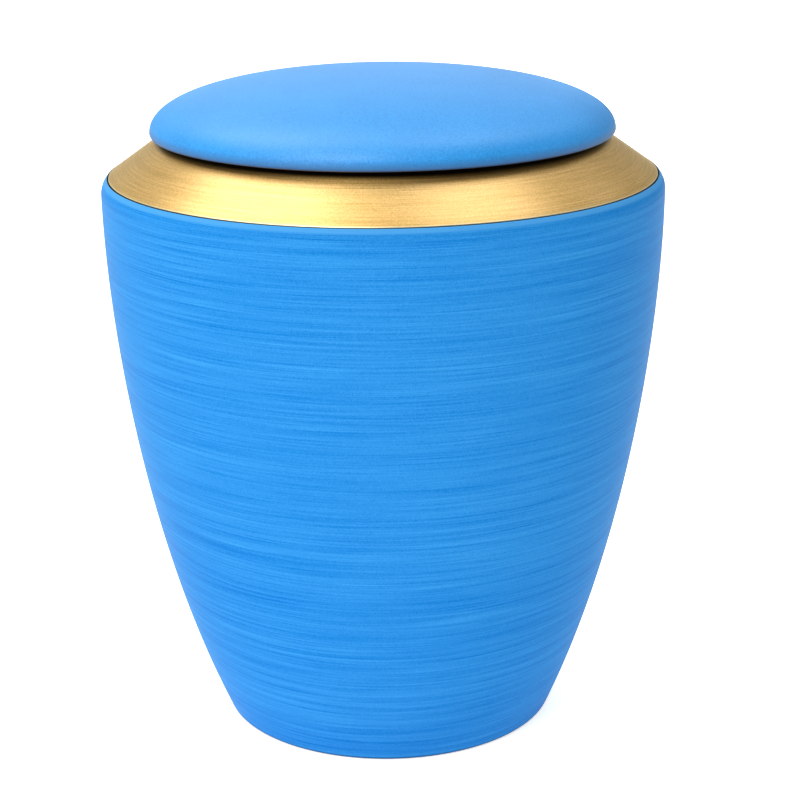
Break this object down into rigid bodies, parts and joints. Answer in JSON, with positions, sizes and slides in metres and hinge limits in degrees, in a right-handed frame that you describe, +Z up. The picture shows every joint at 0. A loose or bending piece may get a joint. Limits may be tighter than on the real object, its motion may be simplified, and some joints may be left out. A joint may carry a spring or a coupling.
{
  "type": "funeral urn",
  "caption": "Tapered round funeral urn: hollow blue vessel, gold cone-shaped shoulder ring with a wide mouth, and a cushion-shaped lid that lifts off.",
  "frame": {"origin": "on the ground, in the middle of the foot", "axes": "+Z up along the axis that the urn is turned about; the lid is at +Z"},
  "size_m": [0.23, 0.23, 0.2721],
  "materials": {
    "brushed_blue_paint": "matte",
    "brushed_gold": "satin",
    "matte_blue_paint": "matte"
  },
  "bodies": {
    "root": {"urn_body": "brushed_blue_paint", "shoulder_ring": "brushed_gold", "lid": "matte_blue_paint"}
  },
  "joints": []
}
